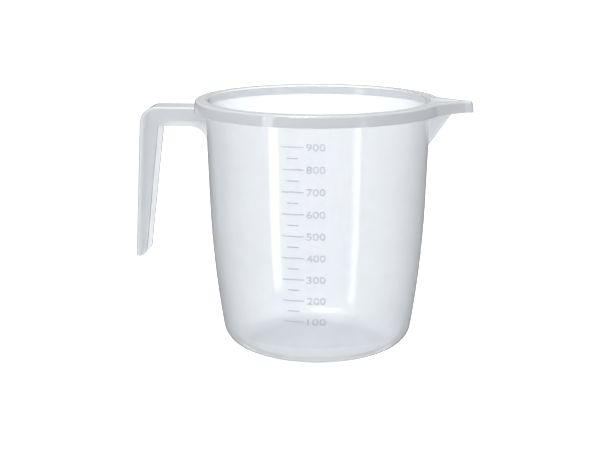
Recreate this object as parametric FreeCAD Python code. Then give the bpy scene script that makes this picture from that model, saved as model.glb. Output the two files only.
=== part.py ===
# Measuring jug: one injection-moulded piece of natural polypropylene, in millimetres.
# +Z is up, the spout points along +X and the handle along -X.
# The origin is the centre of the jug's bounding box, on the surface that it stands on.
import os
from math import cos, radians, sin, sqrt, tan

import FreeCAD
import Part
from FreeCAD import Vector

# Bowl: a straight drafted wall over a gentle belly arc and a rounded heel.
rimHeight = 130.0
rimRadius = 57.7            # outside of the wall, at the rim
wall = 1.5
floorThickness = 1.9
wallDraft = 2.1             # degrees
straightDepth = 52.0        # from the rim down to the belly arc
bellyRadius = 520.0
heelRadius = 12.5
footHeight = 1.4            # a ring under the floor carries the jug
footRadius = 34.0
footWidth = 2.2

# Collar: a flange round the rim with a skirt that hangs from its outer edge.
collarOverhang = 5.0        # beyond the wall
collarHeight = 5.8
collarFlare = 0.8           # the skirt stands out by this much more at its lower edge
collarRound = 1.4           # upper outer edge
mouthRound = 0.7            # upper inner edge, round the mouth and the beak
flangeThickness = 1.6
skirtThickness = 1.4

# Spout: the beak is a rounded V that leans out of the wall; the collar follows it to a lip.
beakOverhang = 15.4         # beyond the wall, at the rim
beakHalfAngle = 25.0        # degrees, seen from above
beakLean = 35.0             # degrees from the vertical
beakNoseRadius = 2.8
beakBlend = 1.5             # where the beak leaves the bowl
spoutOverhang = 15.5        # from the round collar to where its straight sides would meet
spoutHalfAngle = 39.5       # degrees, between those sides and the spout's middle
spoutBlend = 9.0            # where those sides leave the round collar
lipWidth = 5.2
lipLength = 3.6             # from where the straight sides reach the lip's width
lipCornerRadius = 2.0
lipRootRadius = 3.0

# Handle: an open-ended channel, with its web on top and outside.
handleOverhang = 37.7       # from the wall to the outer lower corner
handleDrop = 4.6            # from the rim down to the arm
handleLength = 79.3
handleLean = 3.1            # degrees, the leg's outside
armDepth = 9.7
gripDepthTop = 9.8          # the leg's flanges, level with the arm's underside
gripDepthFoot = 5.5
handleWidthTop = 18.4
handleWidthFoot = 14.6
handleThickness = 1.8
shoulderRadius = 8.6
armpitRadius = 1.5
gussetRadius = 8.5
handleFootRadius = 3.4
handleEdgeRadius = 1.4

# Places that follow from the sizes above
collarRadius = rimRadius + collarOverhang
beakReach = rimRadius + beakOverhang
spoutSideReach = collarRadius + spoutOverhang
lipRoot = spoutSideReach - lipWidth / 2 / tan(radians(spoutHalfAngle))
lipReach = lipRoot + lipLength
handleReach = rimRadius + handleOverhang
handleTop = rimHeight - handleDrop
handleFoot = handleTop - handleLength

bowlRadiusAtSeam = rimRadius * cos(radians(beakHalfAngle)) - beakNoseRadius

overrun = 4.0               # how far a cutting solid runs past the face it opens
touch = 0.01                # two places nearer than this count as one

axisZ = Vector(0, 0, 1)


def line(start, end):
    return Part.makeLine(start, end)


def arc(start, end, centre):
    radius = (start - centre).Length
    bulge = (start - centre) + (end - centre)
    return Part.Arc(start, centre + bulge.normalize() * radius, end).toShape()


def roundedPath(points, radii):
    # Closed wire through the points; a corner with a radius becomes a tangent arc.
    entries = []
    exits = []
    centres = []
    for index, corner in enumerate(points):
        before = (points[index - 1] - corner).normalize()
        after = (points[(index + 1) % len(points)] - corner).normalize()
        halfAngle = before.getAngle(after) / 2
        setback = radii[index] / tan(halfAngle)
        entries.append(corner + before * setback)
        exits.append(corner + after * setback)
        centres.append(corner + (before + after).normalize() * (radii[index] / sin(halfAngle)))
    edges = []
    for index in range(len(points)):
        if radii[index] > 0:
            edges.append(arc(entries[index], exits[index], centres[index]))
        edges.append(line(exits[index], entries[(index + 1) % len(points)]))
    return Part.Wire(edges)


def bowlProfile(inset, bottom, top):
    # Half section of the bowl in the XZ plane, with its wall moved inwards by the inset.
    draft = radians(wallDraft)
    outward = Vector(cos(draft), 0, -sin(draft))
    bellyTop = Vector(rimRadius - straightDepth * tan(draft), 0, rimHeight - straightDepth)
    bellyCentre = bellyTop - outward * bellyRadius
    radius = bellyRadius - inset
    heel = heelRadius - inset
    heelZ = bottom + heel
    heelX = bellyCentre.x + sqrt((radius - heel) ** 2 - (heelZ - bellyCentre.z) ** 2)
    heelCentre = Vector(heelX, 0, heelZ)
    heelStart = Vector(heelX, 0, bottom)
    heelEnd = bellyCentre + (heelCentre - bellyCentre).normalize() * radius
    wallStart = bellyTop - outward * inset
    wallEnd = wallStart + Vector(tan(draft), 0, 1) * (top - wallStart.z)
    return Part.Face(Part.Wire([
        line(Vector(0, 0, bottom), heelStart),
        arc(heelStart, heelEnd, heelCentre),
        arc(heelEnd, wallStart, bellyCentre),
        line(wallStart, wallEnd),
        line(wallEnd, Vector(0, 0, top)),
        line(Vector(0, 0, top), Vector(0, 0, bottom)),
    ]))


def bowlSolid():
    shell = bowlProfile(0, footHeight, rimHeight).revolve(Vector(), axisZ, 360)
    ring = Part.makeCylinder(footRadius, footHeight + floorThickness)
    ring = ring.cut(Part.makeCylinder(footRadius - footWidth, footHeight))
    return shell.fuse(ring)


def bowlCavity():
    return bowlProfile(wall, footHeight + floorThickness, rimHeight + overrun).revolve(Vector(), axisZ, 360)


def beak(inset, top):
    # A rounded V in plan, drawn out along the leaning keel.
    halfAngle = radians(beakHalfAngle)
    lean = tan(radians(beakLean))
    radius = beakNoseRadius - inset
    rise = (beakReach - rimRadius + 2 * overrun) / lean
    nose = beakReach - inset - rise * lean
    centre = Vector(nose - radius, 0, rimHeight - rise)
    side = Vector(sin(halfAngle), cos(halfAngle), 0) * radius
    apex = centre.x + radius / sin(halfAngle)
    spread = apex * tan(halfAngle)
    left = Vector(0, spread, centre.z)
    right = Vector(0, -spread, centre.z)
    leftTangent = centre + side
    rightTangent = centre + Vector(side.x, -side.y, 0)
    outline = Part.Wire([
        line(right, rightTangent),
        arc(rightTangent, leftTangent, centre),
        line(leftTangent, left),
        line(left, right),
    ])
    height = top - centre.z
    return Part.Face(outline).extrude(Vector(lean * height, 0, height))


def blended(bowl, spout, radius):
    # The beak fused to the bowl, with a fillet along the seam, the steep edges near the spout.
    fused = bowl.fuse(spout).removeSplitter()
    seam = []
    for edge in fused.Edges:
        middle = edge.CenterOfMass
        box = edge.BoundBox
        atSpout = middle.x > bowlRadiusAtSeam and abs(middle.y) < rimRadius / 2
        steep = box.ZLength > max(beakNoseRadius / 2, 2 * box.XLength)
        if atSpout and steep:
            seam.append(edge)
    return fused.makeFillet(radius, seam)


def collarOutline(inset, height):
    # Plan of the collar: the round rim, two blends, two straight sides and the lip.
    radius = collarRadius - inset
    blend = spoutBlend + inset
    halfAngle = radians(spoutHalfAngle)
    normal = Vector(sin(halfAngle), cos(halfAngle), 0)
    along = Vector(cos(halfAngle), -sin(halfAngle), 0)
    sideOffset = spoutSideReach * sin(halfAngle) - inset
    reach = sqrt((radius + blend) ** 2 - (sideOffset + blend) ** 2)
    blendCentre = normal * (sideOffset + blend) + along * reach
    blendStart = blendCentre * (radius / (radius + blend))
    blendEnd = blendCentre - normal * blend
    lipHalf = lipWidth / 2 - inset
    rootX = (sideOffset - lipHalf * cos(halfAngle)) / sin(halfAngle)
    root = Vector(rootX, lipHalf, 0)
    rootRadius = lipRootRadius + inset
    setback = rootRadius * tan(halfAngle / 2)
    rootStart = root - along * setback
    rootEnd = root + Vector(setback, 0, 0)
    rootCentre = rootEnd + Vector(0, rootRadius, 0)
    tip = lipReach - inset
    cornerRadius = lipCornerRadius - inset
    cornerStart = Vector(tip - cornerRadius, lipHalf, 0)
    cornerEnd = Vector(tip, lipHalf - cornerRadius, 0)
    cornerCentre = Vector(tip - cornerRadius, lipHalf - cornerRadius, 0)
    half = [
        arc(blendStart, blendEnd, blendCentre),
        line(blendEnd, rootStart),
        arc(rootStart, rootEnd, rootCentre),
        line(rootEnd, cornerStart),
        arc(cornerStart, cornerEnd, cornerCentre),
    ]
    mirrored = [edge.mirror(Vector(), Vector(0, 1, 0)) for edge in half]
    below = Vector(blendStart.x, -blendStart.y, 0)
    front = line(cornerEnd, Vector(tip, -cornerEnd.y, 0))
    rim = Part.Arc(below, Vector(-radius, 0, 0), blendStart).toShape()
    wire = Part.Wire(Part.__sortEdges__(half + [front] + mirrored + [rim]))
    wire.translate(Vector(0, 0, height))
    return wire


def collarSolid():
    # The skirt flares a little downwards, inside and outside alike.
    bottom = rimHeight - collarHeight
    under = rimHeight - flangeThickness
    flarePerHeight = collarFlare / collarHeight
    outer = Part.makeLoft([collarOutline(-collarFlare, bottom), collarOutline(0, rimHeight)], True, True)
    topEdges = [edge for edge in outer.Edges if edge.BoundBox.ZMin > rimHeight - touch]
    outer = outer.makeFillet(collarRound, topEdges)
    cutBottom = bottom - overrun
    lowInset = skirtThickness - flarePerHeight * (rimHeight - cutBottom)
    highInset = skirtThickness - flarePerHeight * flangeThickness
    hollow = Part.makeLoft([collarOutline(lowInset, cutBottom), collarOutline(highInset, under)], True, True)
    return outer.cut(hollow)


def taperedBlock(inset):
    # Wedge that narrows the handle downwards, seen from the end, moved inwards by the inset.
    slope = (handleWidthTop - handleWidthFoot) / 2 / handleLength
    topHalf = handleWidthTop / 2 + slope * overrun - inset
    footHalf = handleWidthFoot / 2 - slope * overrun - inset
    top = handleTop + overrun
    foot = handleFoot - overrun
    corners = [
        Vector(0, -footHalf, foot),
        Vector(0, footHalf, foot),
        Vector(0, topHalf, top),
        Vector(0, -topHalf, top),
    ]
    return Part.Face(roundedPath(corners, [0] * 4)).extrude(Vector(handleReach + overrun, 0, 0))


def tapered(corners, radii, inset):
    # A side view in the XZ plane, drawn out to the wedge's faces.
    side = Part.Face(roundedPath(corners, radii))
    side.translate(Vector(0, -handleWidthTop, 0))
    return side.extrude(Vector(0, 2 * handleWidthTop, 0)).common(taperedBlock(inset))


def handleOutside(height):
    # X of the leg's outer face at a height.
    return handleReach - tan(radians(handleLean)) * (height - handleFoot)


def handleBlock():
    # The arm leaves the wall under the collar, over a gusset, and turns down into the leg.
    root = rimRadius - wall - overrun
    armUnder = handleTop - armDepth
    gussetRoot = sqrt(rimRadius ** 2 - (handleWidthTop / 2) ** 2) - wall / 2
    gussetFoot = armUnder - gussetRadius - wall / 2
    corners = [
        Vector(root, 0, handleTop),
        Vector(handleOutside(handleTop), 0, handleTop),
        Vector(handleReach, 0, handleFoot),
        Vector(handleReach - gripDepthFoot, 0, handleFoot),
        Vector(handleOutside(armUnder) - gripDepthTop, 0, armUnder),
        Vector(gussetRoot, 0, armUnder),
        Vector(gussetRoot, 0, gussetFoot),
        Vector(root, 0, gussetFoot),
    ]
    radii = [0, shoulderRadius, 0, handleFootRadius, armpitRadius, gussetRadius, 0, 0]
    return tapered(corners, radii, 0)


def handleGroove():
    # The open inside of the channel; the web stays over it and outside it.
    root = rimRadius - wall - 2 * overrun
    web = handleThickness
    corners = [
        Vector(root, 0, handleTop - web),
        Vector(handleOutside(handleTop) - web, 0, handleTop - web),
        Vector(handleOutside(handleFoot - overrun) - web, 0, handleFoot - overrun),
        Vector(root, 0, handleFoot - overrun),
    ]
    return tapered(corners, [0, shoulderRadius - web, 0, 0], web)


def onWeb(edge):
    # True for the long edges that bound the web: on the arm's top, the shoulder and the leg's outer face.
    middle = edge.valueAt((edge.FirstParameter + edge.LastParameter) / 2)
    lengthwise = edge.BoundBox.YLength < handleWidthFoot / 2 and abs(middle.y) > handleWidthFoot / 2 - touch
    onTop = middle.z > handleTop - touch
    onOutside = middle.x > handleOutside(middle.z) - touch
    reach = handleOutside(handleTop) - shoulderRadius
    onShoulder = middle.z > handleTop - shoulderRadius and middle.x > reach
    return lengthwise and (onTop or onOutside or onShoulder)


def handleSolid():
    block = handleBlock()
    block = block.makeFillet(handleEdgeRadius, [edge for edge in block.Edges if onWeb(edge)])
    handle = block.cut(handleGroove())
    handle.rotate(Vector(), axisZ, 180)
    return handle


def onMouth(edge, inside):
    # True for the edges at the rim's height where the collar's top meets the cavity.
    middle = edge.valueAt((edge.FirstParameter + edge.LastParameter) / 2)
    return edge.BoundBox.ZMin > rimHeight - touch and inside.isInside(middle, touch, True)


def jug():
    thicknessInPlan = wall / cos(radians(beakLean))    # the beak's wall, measured along the level
    outside = blended(bowlSolid(), beak(0, rimHeight), beakBlend)
    inside = blended(bowlCavity(), beak(thicknessInPlan, rimHeight + overrun), beakBlend)
    body = outside.fuse([collarSolid(), handleSolid()]).cut(inside).removeSplitter()
    mouth = [edge for edge in body.Edges if onMouth(edge, inside)]
    body = body.makeFillet(mouthRound, mouth)
    body.translate(Vector((handleReach - lipReach - collarFlare) / 2, 0, 0))
    return body.Solids[0]


os.makedirs("parts", exist_ok=True)
shape = jug()
shape.exportStep("parts/jug.step")
print("jug:", shape.ShapeType, "valid" if shape.isValid() else "not valid", round(shape.Volume), "mm3")
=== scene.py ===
# Measuring jug in natural polypropylene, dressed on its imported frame.
# Metres. +Z is up, the spout points along +X and the handle along -X.
from math import cos, radians, sin, tan

import bpy
import bmesh
import numpy as np
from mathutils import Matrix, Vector


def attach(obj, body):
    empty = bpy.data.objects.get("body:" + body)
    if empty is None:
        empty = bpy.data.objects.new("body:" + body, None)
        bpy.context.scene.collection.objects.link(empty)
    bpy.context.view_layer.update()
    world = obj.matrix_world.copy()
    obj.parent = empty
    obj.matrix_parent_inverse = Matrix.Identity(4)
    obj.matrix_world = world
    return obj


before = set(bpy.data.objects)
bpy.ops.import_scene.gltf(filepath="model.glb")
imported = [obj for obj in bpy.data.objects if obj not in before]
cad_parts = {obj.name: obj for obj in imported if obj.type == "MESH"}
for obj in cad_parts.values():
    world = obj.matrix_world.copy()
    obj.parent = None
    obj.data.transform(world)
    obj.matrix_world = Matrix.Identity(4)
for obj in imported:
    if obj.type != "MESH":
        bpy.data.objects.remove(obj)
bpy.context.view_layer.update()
scene = bpy.context.scene
print("frame loaded:", ", ".join(sorted(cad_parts)))


def linearColour(code):
    # sRGB hex to linear: c / 12.92 where c is small, otherwise ((c + 0.055) / 1.055) ** 2.4
    values = [int(code[start:start + 2], 16) / 255 for start in (1, 3, 5)]
    return [c / 12.92 if c <= 0.04045 else ((c + 0.055) / 1.055) ** 2.4 for c in values] + [1.0]


def addNode(tree, kind, settings={}, links={}):
    # A key is an input's name or number, or one of the node's own settings; a link's value is an output.
    node = tree.nodes.new("ShaderNode" + kind)
    for key, value in settings.items():
        if isinstance(key, int) or key in node.inputs:
            node.inputs[key].default_value = value
        else:
            setattr(node, key, value)
    for key, source in links.items():
        tree.links.new(source, node.inputs[key])
    return node


def newMaterial(name):
    material = bpy.data.materials.new(name)
    material.use_nodes = True
    material.node_tree.nodes.clear()
    return material, material.node_tree


def finishMaterial(tree, surface):
    addNode(tree, "OutputMaterial", links={"Surface": surface})


def dress(piece, material):
    piece.data.materials.clear()
    piece.data.materials.append(material)


# The bowl's wall: a drafted cone down to a gentle belly arc.
bowl = {
    "axis": 0.0079773,          # its middle, along X
    "rimHeight": 0.130,
    "rimRadius": 0.0577,        # outside
    "draft": radians(2.1),
    "straightDepth": 0.052,     # below it the wall follows the belly arc
    "bellyRadius": 0.520,
}

# Natural polypropylene, injection moulded in a polished tool: no pigment, so the thin wall is clear
# with a slight cloud, the thicker collar, spout and handle look milky, and all turn grey on edge.
jugFinish = {
    "body": "#EEF0F3",
    "passed": "#FDFEFF",        # tint of what shows through
    "wallHaze": 0.44,           # how much one wall scatters, looking straight at it
    "thickHaze": 1.4,
    "proud": 0.0001,            # what stands out of the wall's cone by more than this gets thick
    "proudFade": 0.0004,        # over this far
    "collarHaze": 2.0,          # the collar is a skirt in front of the wall
    "collarFoot": 0.1225,
    "collarFull": 0.1255,
    "floorHaze": 0.22,          # the floor and heel are the clearest
    "floorTop": 0.0140,
    "floorLow": 0.0050,
    "wallForward": 0.47,        # share of the scattered light that goes on through the wall
    "thickForward": 0.26,
    "slantPower": 1.15,         # the haze grows with this power of 1 / cosine of the slant
    "leastSlant": 0.28,         # cosine at which the wall looks as milky as it gets
    "ior": 1.49,
    "mirror": 0.04,             # what its skin mirrors, looking straight at it
    "mirrorPower": 5.0,         # and how sharply that rises with the slant
    "gloss": 0.08,              # roughness of the polished skin
    "softness": 0.45,           # roughness of the cloudy body under it
    "cloudSize": 0.028,         # flow clouds left by the melt
    "cloudDetail": 3.0,
    "cloudRange": (0.3, 0.7),   # noise at the clearest and at the cloudiest spots
    "cloudDepth": 0.10,         # how much they change the haze
    "grainSize": 0.0012,        # a tool polish this fine hardly shows, so it is drawn at 1.2 mm
    "grainDetail": 2.0,
    "grainHeight": 0.000004,
}

# Painted shade: the raised marks are the wall's own plastic, but they bend light away at their edges and
# look a little darker, so their body colour is painted greyer than the wall's.
markPaintedShadeFinish = dict(jugFinish, body="#C3C8CF", wallHaze=0.5, wallForward=0.3, proud=0.001)


def scattering(tree, place, finish):
    # Haze and forward share at a place: those of the wall on the bowl's cone, of thick plastic on
    # what stands out of it, and of the floor below.
    centred = addNode(tree, "Mapping", {
        "Location": (-bowl["axis"], 0, 0), "Scale": (1, 1, 0),
    }, {"Vector": place})
    reach = addNode(tree, "VectorMath", {"operation": "LENGTH"}, {0: centred.outputs[0]})
    height = addNode(tree, "SeparateXYZ", links={0: place}).outputs["Z"]
    slope = tan(bowl["draft"])
    cone = addNode(tree, "Math", {
        "operation": "MULTIPLY_ADD", 1: slope, 2: bowl["rimRadius"] - bowl["rimHeight"] * slope,
    }, {0: height})
    beyond = addNode(tree, "Math", {"operation": "SUBTRACT"}, {
        0: reach.outputs["Value"], 1: cone.outputs[0],
    })
    outside = addNode(tree, "MapRange", {
        "interpolation_type": "SMOOTHSTEP",
        "From Min": finish["proud"], "From Max": finish["proud"] + finish["proudFade"],
    }, {"Value": beyond.outputs[0]}).outputs[0]
    floor = addNode(tree, "MapRange", {
        "interpolation_type": "SMOOTHSTEP",
        "From Min": finish["floorTop"], "From Max": finish["floorLow"],
    }, {"Value": height}).outputs[0]
    thickHaze = addNode(tree, "MapRange", {
        "From Min": finish["collarFoot"], "From Max": finish["collarFull"],
        "To Min": finish["thickHaze"], "To Max": finish["collarHaze"],
    }, {"Value": height})
    upperHaze = addNode(tree, "MapRange", {"To Min": finish["wallHaze"]}, {
        "Value": outside, "To Max": thickHaze.outputs[0],
    })
    haze = addNode(tree, "MapRange", {"To Max": finish["floorHaze"]}, {
        "Value": floor, "To Min": upperHaze.outputs[0],
    })
    upperForward = addNode(tree, "MapRange", {
        "To Min": finish["wallForward"], "To Max": finish["thickForward"],
    }, {"Value": outside})
    forward = addNode(tree, "MapRange", {"To Max": 0.0}, {
        "Value": floor, "To Min": upperForward.outputs[0],
    })
    return haze.outputs[0], forward.outputs[0]


def gettingThrough(tree, haze, facing, finish):
    # A wall counts once, at the face where the view goes in. The way through it grows as
    # 1 / cosine ** power of the slant, and exp(-way) of the light gets through.
    leaving = addNode(tree, "NewGeometry").outputs["Backfacing"]
    entering = addNode(tree, "Math", {"operation": "SUBTRACT", 0: 1.0}, {1: leaving})
    counted = addNode(tree, "Math", {"operation": "MULTIPLY"}, {0: haze, 1: entering.outputs[0]})
    slant = addNode(tree, "Math", {"operation": "MINIMUM", 1: 1 - finish["leastSlant"]}, {0: facing})
    cosine = addNode(tree, "Math", {"operation": "SUBTRACT", 0: 1.0}, {1: slant.outputs[0]})
    thinning = addNode(tree, "Math", {"operation": "POWER", 1: finish["slantPower"]}, {
        0: cosine.outputs[0],
    })
    way = addNode(tree, "Math", {"operation": "DIVIDE"}, {
        0: counted.outputs[0], 1: thinning.outputs[0],
    })
    lost = addNode(tree, "Math", {"operation": "MULTIPLY", 1: -1.0}, {0: way.outputs[0]})
    return addNode(tree, "Math", {"operation": "EXPONENT"}, {0: lost.outputs[0]}).outputs[0]


def polypropylene(name, finish):
    material, tree = newMaterial(name)
    place = addNode(tree, "TexCoord").outputs["Object"]
    facing = addNode(tree, "LayerWeight", {"Blend": 0.5}).outputs["Facing"]
    clouds = addNode(tree, "TexNoise", {
        "Scale": 1 / finish["cloudSize"], "Detail": finish["cloudDetail"],
    }, {"Vector": place})
    cloudier = addNode(tree, "MapRange", {
        "From Min": finish["cloudRange"][0], "From Max": finish["cloudRange"][1],
        "To Min": 1 - finish["cloudDepth"], "To Max": 1 + finish["cloudDepth"],
    }, {"Value": clouds.outputs["Fac"]})
    grain = addNode(tree, "TexNoise", {
        "Scale": 1 / finish["grainSize"], "Detail": finish["grainDetail"],
    }, {"Vector": place})
    skin = addNode(tree, "Bump", {"Distance": finish["grainHeight"]}, {
        "Height": grain.outputs["Fac"],
    }).outputs[0]

    # The cloudy body, which scatters some light back and some on, and the clear share beside it.
    evenHaze, forward = scattering(tree, place, finish)
    haze = addNode(tree, "Math", {"operation": "MULTIPLY"}, {0: evenHaze, 1: cloudier.outputs[0]})
    through = gettingThrough(tree, haze.outputs[0], facing, finish)
    back = addNode(tree, "BsdfPrincipled", {
        "Base Color": linearColour(finish["body"]),
        "Roughness": finish["softness"], "IOR": finish["ior"],
    }, {"Normal": skin})
    on = addNode(tree, "BsdfTranslucent", {"Color": linearColour(finish["body"])}, {"Normal": skin})
    cloudy = addNode(tree, "MixShader", links={0: forward, 1: back.outputs[0], 2: on.outputs[0]})
    clear = addNode(tree, "BsdfTransparent", {"Color": linearColour(finish["passed"])})
    body = addNode(tree, "MixShader", links={0: through, 1: cloudy.outputs[0], 2: clear.outputs[0]})

    # Mirror share = straight share + the rest * (1 - cosine of the slant) ** power.
    steep = addNode(tree, "Math", {"operation": "POWER", 1: finish["mirrorPower"]}, {0: facing})
    mirror = addNode(tree, "Math", {
        "operation": "MULTIPLY_ADD", 1: 1 - finish["mirror"], 2: finish["mirror"],
    }, {0: steep.outputs[0]})
    gloss = addNode(tree, "BsdfGlossy", {"Roughness": finish["gloss"]}, {"Normal": skin})
    whole = addNode(tree, "MixShader", links={
        0: mirror.outputs[0], 1: body.outputs[0], 2: gloss.outputs[0],
    })
    finishMaterial(tree, whole.outputs[0])
    return material


dress(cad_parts["jug"], polypropylene("Natural polypropylene, moulded", jugFinish))
print("jug dressed")

# Graduations: bars and figures moulded on the outside of the wall, on the side away from +Y.
graduations = {
    "lowest": 0.0260,           # height of the mark for 100
    "step": 0.01101,            # between figures
    "steps": 9,
    "relief": 0.0003,
    "barStart": -0.0120,        # along the wall, from the line that faces -Y
    "barEnd": -0.0009,
    "shortBar": 0.0058,
    "barThickness": 0.00062,
    "squareness": 0.35,         # 1 gives an ellipse, less a squarer bar
    "barRings": 9,
    "barSides": 32,
    "figureStart": 0.0003,
    "figureHeight": 0.0035,
    "figureWidth": 0.0092,
    "figureSteps": 4,           # pieces in each curve of a figure
    "sharpAngle": radians(40),
    "weldDistance": 1e-7,
}


def wallRadius(height):
    # Straight drafted cone down to the belly, then the circle that meets it without a kink.
    bellyTop = bowl["rimHeight"] - bowl["straightDepth"]
    topRadius = bowl["rimRadius"] - bowl["straightDepth"] * tan(bowl["draft"])
    cone = bowl["rimRadius"] - (bowl["rimHeight"] - height) * tan(bowl["draft"])
    centreRadius = topRadius - bowl["bellyRadius"] * cos(bowl["draft"])
    centreHeight = bellyTop + bowl["bellyRadius"] * sin(bowl["draft"])
    arc = centreRadius + np.sqrt(bowl["bellyRadius"] ** 2 - (height - centreHeight) ** 2)
    return np.where(height > bellyTop, cone, arc)


def onWall(along, up, out):
    # Bends a flat drawing round the wall: the angle is the way along over the radius at that height.
    radius = wallRadius(up)
    angle = along / radius
    return np.stack([
        bowl["axis"] + (radius + out) * np.sin(angle),
        -(radius + out) * np.cos(angle),
        up,
    ], -1)


def newPiece(name, points, faces, material):
    mesh = bpy.data.meshes.new(name)
    mesh.from_pydata(points.reshape(-1, 3), [], faces)
    work = bmesh.new()
    work.from_mesh(mesh)
    bmesh.ops.remove_doubles(work, verts=work.verts, dist=graduations["weldDistance"])
    bmesh.ops.recalc_face_normals(work, faces=work.faces)
    work.to_mesh(mesh)
    work.free()
    mesh.shade_smooth()
    mesh.set_sharp_from_angle(angle=graduations["sharpAngle"])
    piece = bpy.data.objects.new(name, mesh)
    scene.collection.objects.link(piece)
    dress(piece, material)
    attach(piece, "root")
    return piece


def power(value, exponent):
    return np.sign(value) * np.abs(value) ** exponent


def bars(middle, heights, lengths, material):
    # Each bar is a superellipsoid, with n its squareness:
    # along = a cos^n(u) cos^n(v), up = b cos^n(u) sin^n(v), out = relief sin(u).
    g = graduations
    rings, sides = g["barRings"], g["barSides"]
    u = np.linspace(-np.pi / 2, np.pi / 2, rings)[None, :, None]
    v = np.linspace(0, 2 * np.pi, sides, endpoint=False)[None, None, :]
    belly = power(np.cos(u), g["squareness"])
    along = middle + lengths[:, None, None] / 2 * belly * power(np.cos(v), g["squareness"])
    up = heights[:, None, None] + g["barThickness"] / 2 * belly * power(np.sin(v), g["squareness"])
    out = g["relief"] * np.sin(u) + 0 * along
    points = onWall(along, up, out)
    ring, side, bar = np.meshgrid(
        np.arange(rings - 1), np.arange(sides), np.arange(len(heights)), indexing="ij")
    here = bar * rings * sides + ring * sides + side
    beside = bar * rings * sides + ring * sides + (side + 1) % sides
    faces = np.stack([here, beside, beside + sides, here + sides], -1).reshape(-1, 4)
    newPiece("graduation_bars", points, faces.tolist(), material)


def figures(labels, heights, material):
    # Each label is drawn flat as text, stretched to its width, then bent round the wall.
    g = graduations
    points, faces, count = [], [], 0
    for label, height in zip(labels, heights):
        drawing = bpy.data.curves.new("label", "FONT")
        drawing.body = label
        drawing.extrude = g["relief"]
        drawing.resolution_u = g["figureSteps"]
        text = bpy.data.objects.new("label", drawing)
        flat = bpy.data.meshes.new_from_object(text)
        spots = np.empty(len(flat.vertices) * 3)
        flat.vertices.foreach_get("co", spots)
        spots = spots.reshape(-1, 3)
        low, high = spots.min(0), spots.max(0)
        share = (spots - low) / (high - low)
        points.append(onWall(
            g["figureStart"] + share[:, 0] * g["figureWidth"],
            height + (share[:, 1] - 0.5) * g["figureHeight"],
            g["relief"] * (2 * share[:, 2] - 1),
        ))
        faces += [[index + count for index in face.vertices] for face in flat.polygons]
        count += len(spots)
        bpy.data.objects.remove(text)
        bpy.data.curves.remove(drawing)
        bpy.data.meshes.remove(flat)
    newPiece("graduation_figures", np.concatenate(points), faces, material)


def graduate():
    # Long bars and figures at the full steps, short bars half-way between them.
    g = graduations
    # The marks' material carries painted shade: its body colour is painted darker than the wall's.
    material = polypropylene("Natural polypropylene, raised marks with painted shade", markPaintedShadeFinish)
    longHeights = g["lowest"] + g["step"] * np.arange(g["steps"])
    shortHeights = (longHeights[:-1] + longHeights[1:]) / 2
    longLengths = np.full(len(longHeights), g["barEnd"] - g["barStart"])
    shortLengths = np.full(len(shortHeights), g["shortBar"])
    middle = (g["barEnd"] + g["barStart"]) / 2
    bars(middle, np.concatenate([longHeights, shortHeights]),
         np.concatenate([longLengths, shortLengths]), material)
    figures([str(100 * (index + 1)) for index in range(g["steps"])], longHeights, material)


graduate()
print("graduations made")

# Studio: an even white field, a white table, grey side walls, and upright light boxes that only
# show as reflections.
fieldLevel = 0.13               # light from the field on the object

tableLook = {
    "size": 6.0,
    "colour": "#F2F2F2",
    "paintedShadowGlow": 0.0,            # painted shadow: no glow under the foot, so the table there is a dark disc that stands in for the jug's contact shadow
    "paintedShadowEdge": (0.0355, 0.0385),
    "nearGlow": 0.62,           # round the jug, so that its shadow stays
    "nearReach": 0.12,
    "farGlow": 0.95,
    "farReach": 1.50,
}

# Each is part of an upright drum round the jug; angles in degrees from -Y towards +X.
cards = {
    "Grey side walls": {
        "middle": 0, "spread": 360, "radius": 1.6, "low": -1.2, "high": 1.4,
        "colour": "#FFFFFF", "strength": 0.20,
    },
    "White back wall": {
        "middle": 180, "spread": 130, "radius": 1.5, "low": 0.2, "high": 1.4,
        "colour": "#FFFFFF", "strength": 0.6,
    },
    "Left light box": {
        "middle": -39, "spread": 10, "radius": 1.3, "low": -0.58, "high": 0.6,
        "colour": "#F4F4FF", "strength": 5.0,
    },
    "Right light box": {
        "middle": 47, "spread": 5.6, "radius": 1.3, "low": -0.66, "high": 0.6,
        "colour": "#ECEEFF", "strength": 2.6,
    },
}
cardStep = 3                    # degrees that one flat of a drum covers

lamps = {
    "Top softbox": {"place": (-0.15, 0.08, 1.3), "size": 0.5, "power": 9.6},
    "Front softbox": {"place": (0.3, -1.6, 0.9), "size": 1.2, "power": 8.1},
    "Left softbox": {"place": (-1.4, -0.9, 0.5), "size": 0.8, "power": 3.0},
    "Back softbox": {"place": (0.0, 1.6, 0.5), "size": 2.4, "power": 10.0},
}
lampAim = (0, 0, 0.06)          # half-way up the jug


def whenSeen(tree):
    # 1 for what is seen straight, mirrored or through clear plastic, 0 for light on the object.
    path = addNode(tree, "LightPath")
    seen = addNode(tree, "Math", {"operation": "MAXIMUM"}, {
        0: path.outputs["Is Camera Ray"], 1: path.outputs["Is Glossy Ray"],
    })
    return addNode(tree, "Math", {"operation": "MAXIMUM"}, {
        0: seen.outputs[0], 1: path.outputs["Is Transmission Ray"],
    }).outputs[0]


def whiteField():
    world = bpy.data.worlds.new("White field")
    world.use_nodes = True
    tree = world.node_tree
    tree.nodes.clear()
    level = addNode(tree, "MapRange", {"To Min": fieldLevel, "To Max": 1.0}, {"Value": whenSeen(tree)})
    field = addNode(tree, "Background", {"Color": (1, 1, 1, 1)}, {"Strength": level.outputs["Result"]})
    addNode(tree, "OutputWorld", links={"Surface": field.outputs[0]})
    scene.world = world


def stagePiece(name, points, faces, material):
    mesh = bpy.data.meshes.new(name)
    mesh.from_pydata(points, [], faces)
    piece = bpy.data.objects.new(name, mesh)
    scene.collection.objects.link(piece)
    dress(piece, material)
    return piece


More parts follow.
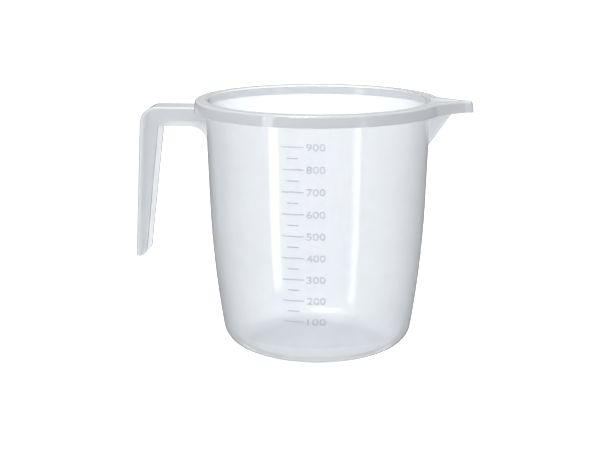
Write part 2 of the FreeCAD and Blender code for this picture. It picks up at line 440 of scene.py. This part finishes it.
def laminate():
    # Matt white laminate; it glows a little where it is seen, so that it meets the field without an
    # edge. Under the foot it does not glow at all, which paints a dark disc there as the jug's contact
    # shadow.
    material, tree = newMaterial("Matt white laminate")
    matt = addNode(tree, "BsdfDiffuse", {"Color": linearColour(tableLook["colour"])})
    place = addNode(tree, "TexCoord").outputs["Object"]
    centred = addNode(tree, "Mapping", {"Location": (-bowl["axis"], 0, 0)}, {"Vector": place})
    distance = addNode(tree, "VectorMath", {"operation": "LENGTH"}, {0: centred.outputs[0]})
    reach = distance.outputs["Value"]
    around = addNode(tree, "MapRange", {
        "From Min": tableLook["nearReach"], "From Max": tableLook["farReach"],
        "To Min": tableLook["nearGlow"], "To Max": tableLook["farGlow"],
    }, {"Value": reach})
    # Painted shadow: inside the foot's edge the glow falls to the value under the foot, a dark disc
    # standing in for the jug's contact shadow.
    level = addNode(tree, "MapRange", {
        "interpolation_type": "SMOOTHSTEP", "To Min": tableLook["paintedShadowGlow"],
        "From Min": tableLook["paintedShadowEdge"][0], "From Max": tableLook["paintedShadowEdge"][1],
    }, {"Value": reach, "To Max": around.outputs[0]})
    glow = addNode(tree, "Math", {"operation": "MULTIPLY"}, {0: whenSeen(tree), 1: level.outputs[0]})
    light = addNode(tree, "Emission", {"Color": (1, 1, 1, 1)}, {"Strength": glow.outputs[0]})
    both = addNode(tree, "AddShader", links={0: matt.outputs[0], 1: light.outputs[0]})
    finishMaterial(tree, both.outputs[0])
    return material


def table():
    half = tableLook["size"] / 2
    corners = [(-half, -half, 0), (half, -half, 0), (half, half, 0), (-half, half, 0)]
    piece = stagePiece("table", corners, [(0, 1, 2, 3)], laminate())
    piece.visible_glossy = False


def card(name, look):
    # Points = radius * (sin, -cos) of the angle, at the low and the high edge.
    material, tree = newMaterial(name)
    light = addNode(tree, "Emission", {
        "Color": linearColour(look["colour"]), "Strength": look["strength"],
    })
    finishMaterial(tree, light.outputs[0])
    steps = max(2, int(look["spread"] / cardStep))
    half = look["spread"] / 2
    angles = np.radians(look["middle"] + np.linspace(-half, half, steps + 1))
    ring = look["radius"] * np.stack([np.sin(angles), -np.cos(angles)], -1)
    edges = [np.column_stack([ring, np.full(steps + 1, look[edge])]) for edge in ("low", "high")]
    faces = [(i, i + 1, i + steps + 2, i + steps + 1) for i in range(steps)]
    piece = stagePiece(name, np.concatenate(edges), faces, material)
    piece.visible_camera = False
    piece.visible_diffuse = False
    piece.visible_transmission = False
    piece.visible_shadow = False


def lamp(name, look):
    light = bpy.data.lights.new(name, "AREA")
    light.shape = "SQUARE"
    light.size = look["size"]
    light.energy = look["power"]
    thing = bpy.data.objects.new(name, light)
    thing.location = look["place"]
    thing.rotation_euler = (Vector(lampAim) - Vector(look["place"])).to_track_quat("-Z", "Y").to_euler()
    thing.visible_camera = False
    scene.collection.objects.link(thing)


whiteField()
table()
for name, look in cards.items():
    card(name, look)
for name, look in lamps.items():
    lamp(name, look)
print("studio set")

view = {
    "target": (-0.00119, 0.0, 0.06333),
    "distance": 0.73851,
    "azimuth": 6.506,           # degrees from -Y towards +X
    "elevation": 12.746,
    "lens": 84.74,
    "sensor": 36.0,
    "clearLayers": 32,          # clear walls that a view may pass
}


def placeCamera():
    # The camera stands on a ball round the target and looks at its middle.
    turn, rise = radians(view["azimuth"]), radians(view["elevation"])
    back = Vector((sin(turn) * cos(rise), -cos(turn) * cos(rise), sin(rise)))
    lens = bpy.data.cameras.new("camera")
    lens.lens = view["lens"]
    lens.sensor_width = view["sensor"]
    camera = bpy.data.objects.new("camera", lens)
    camera.location = Vector(view["target"]) + back * view["distance"]
    camera.rotation_euler = (-back).to_track_quat("-Z", "Y").to_euler()
    scene.collection.objects.link(camera)
    scene.camera = camera


placeCamera()
scene.view_settings.view_transform = "Standard"
scene.cycles.transparent_max_bounces = view["clearLayers"]
print("camera placed")
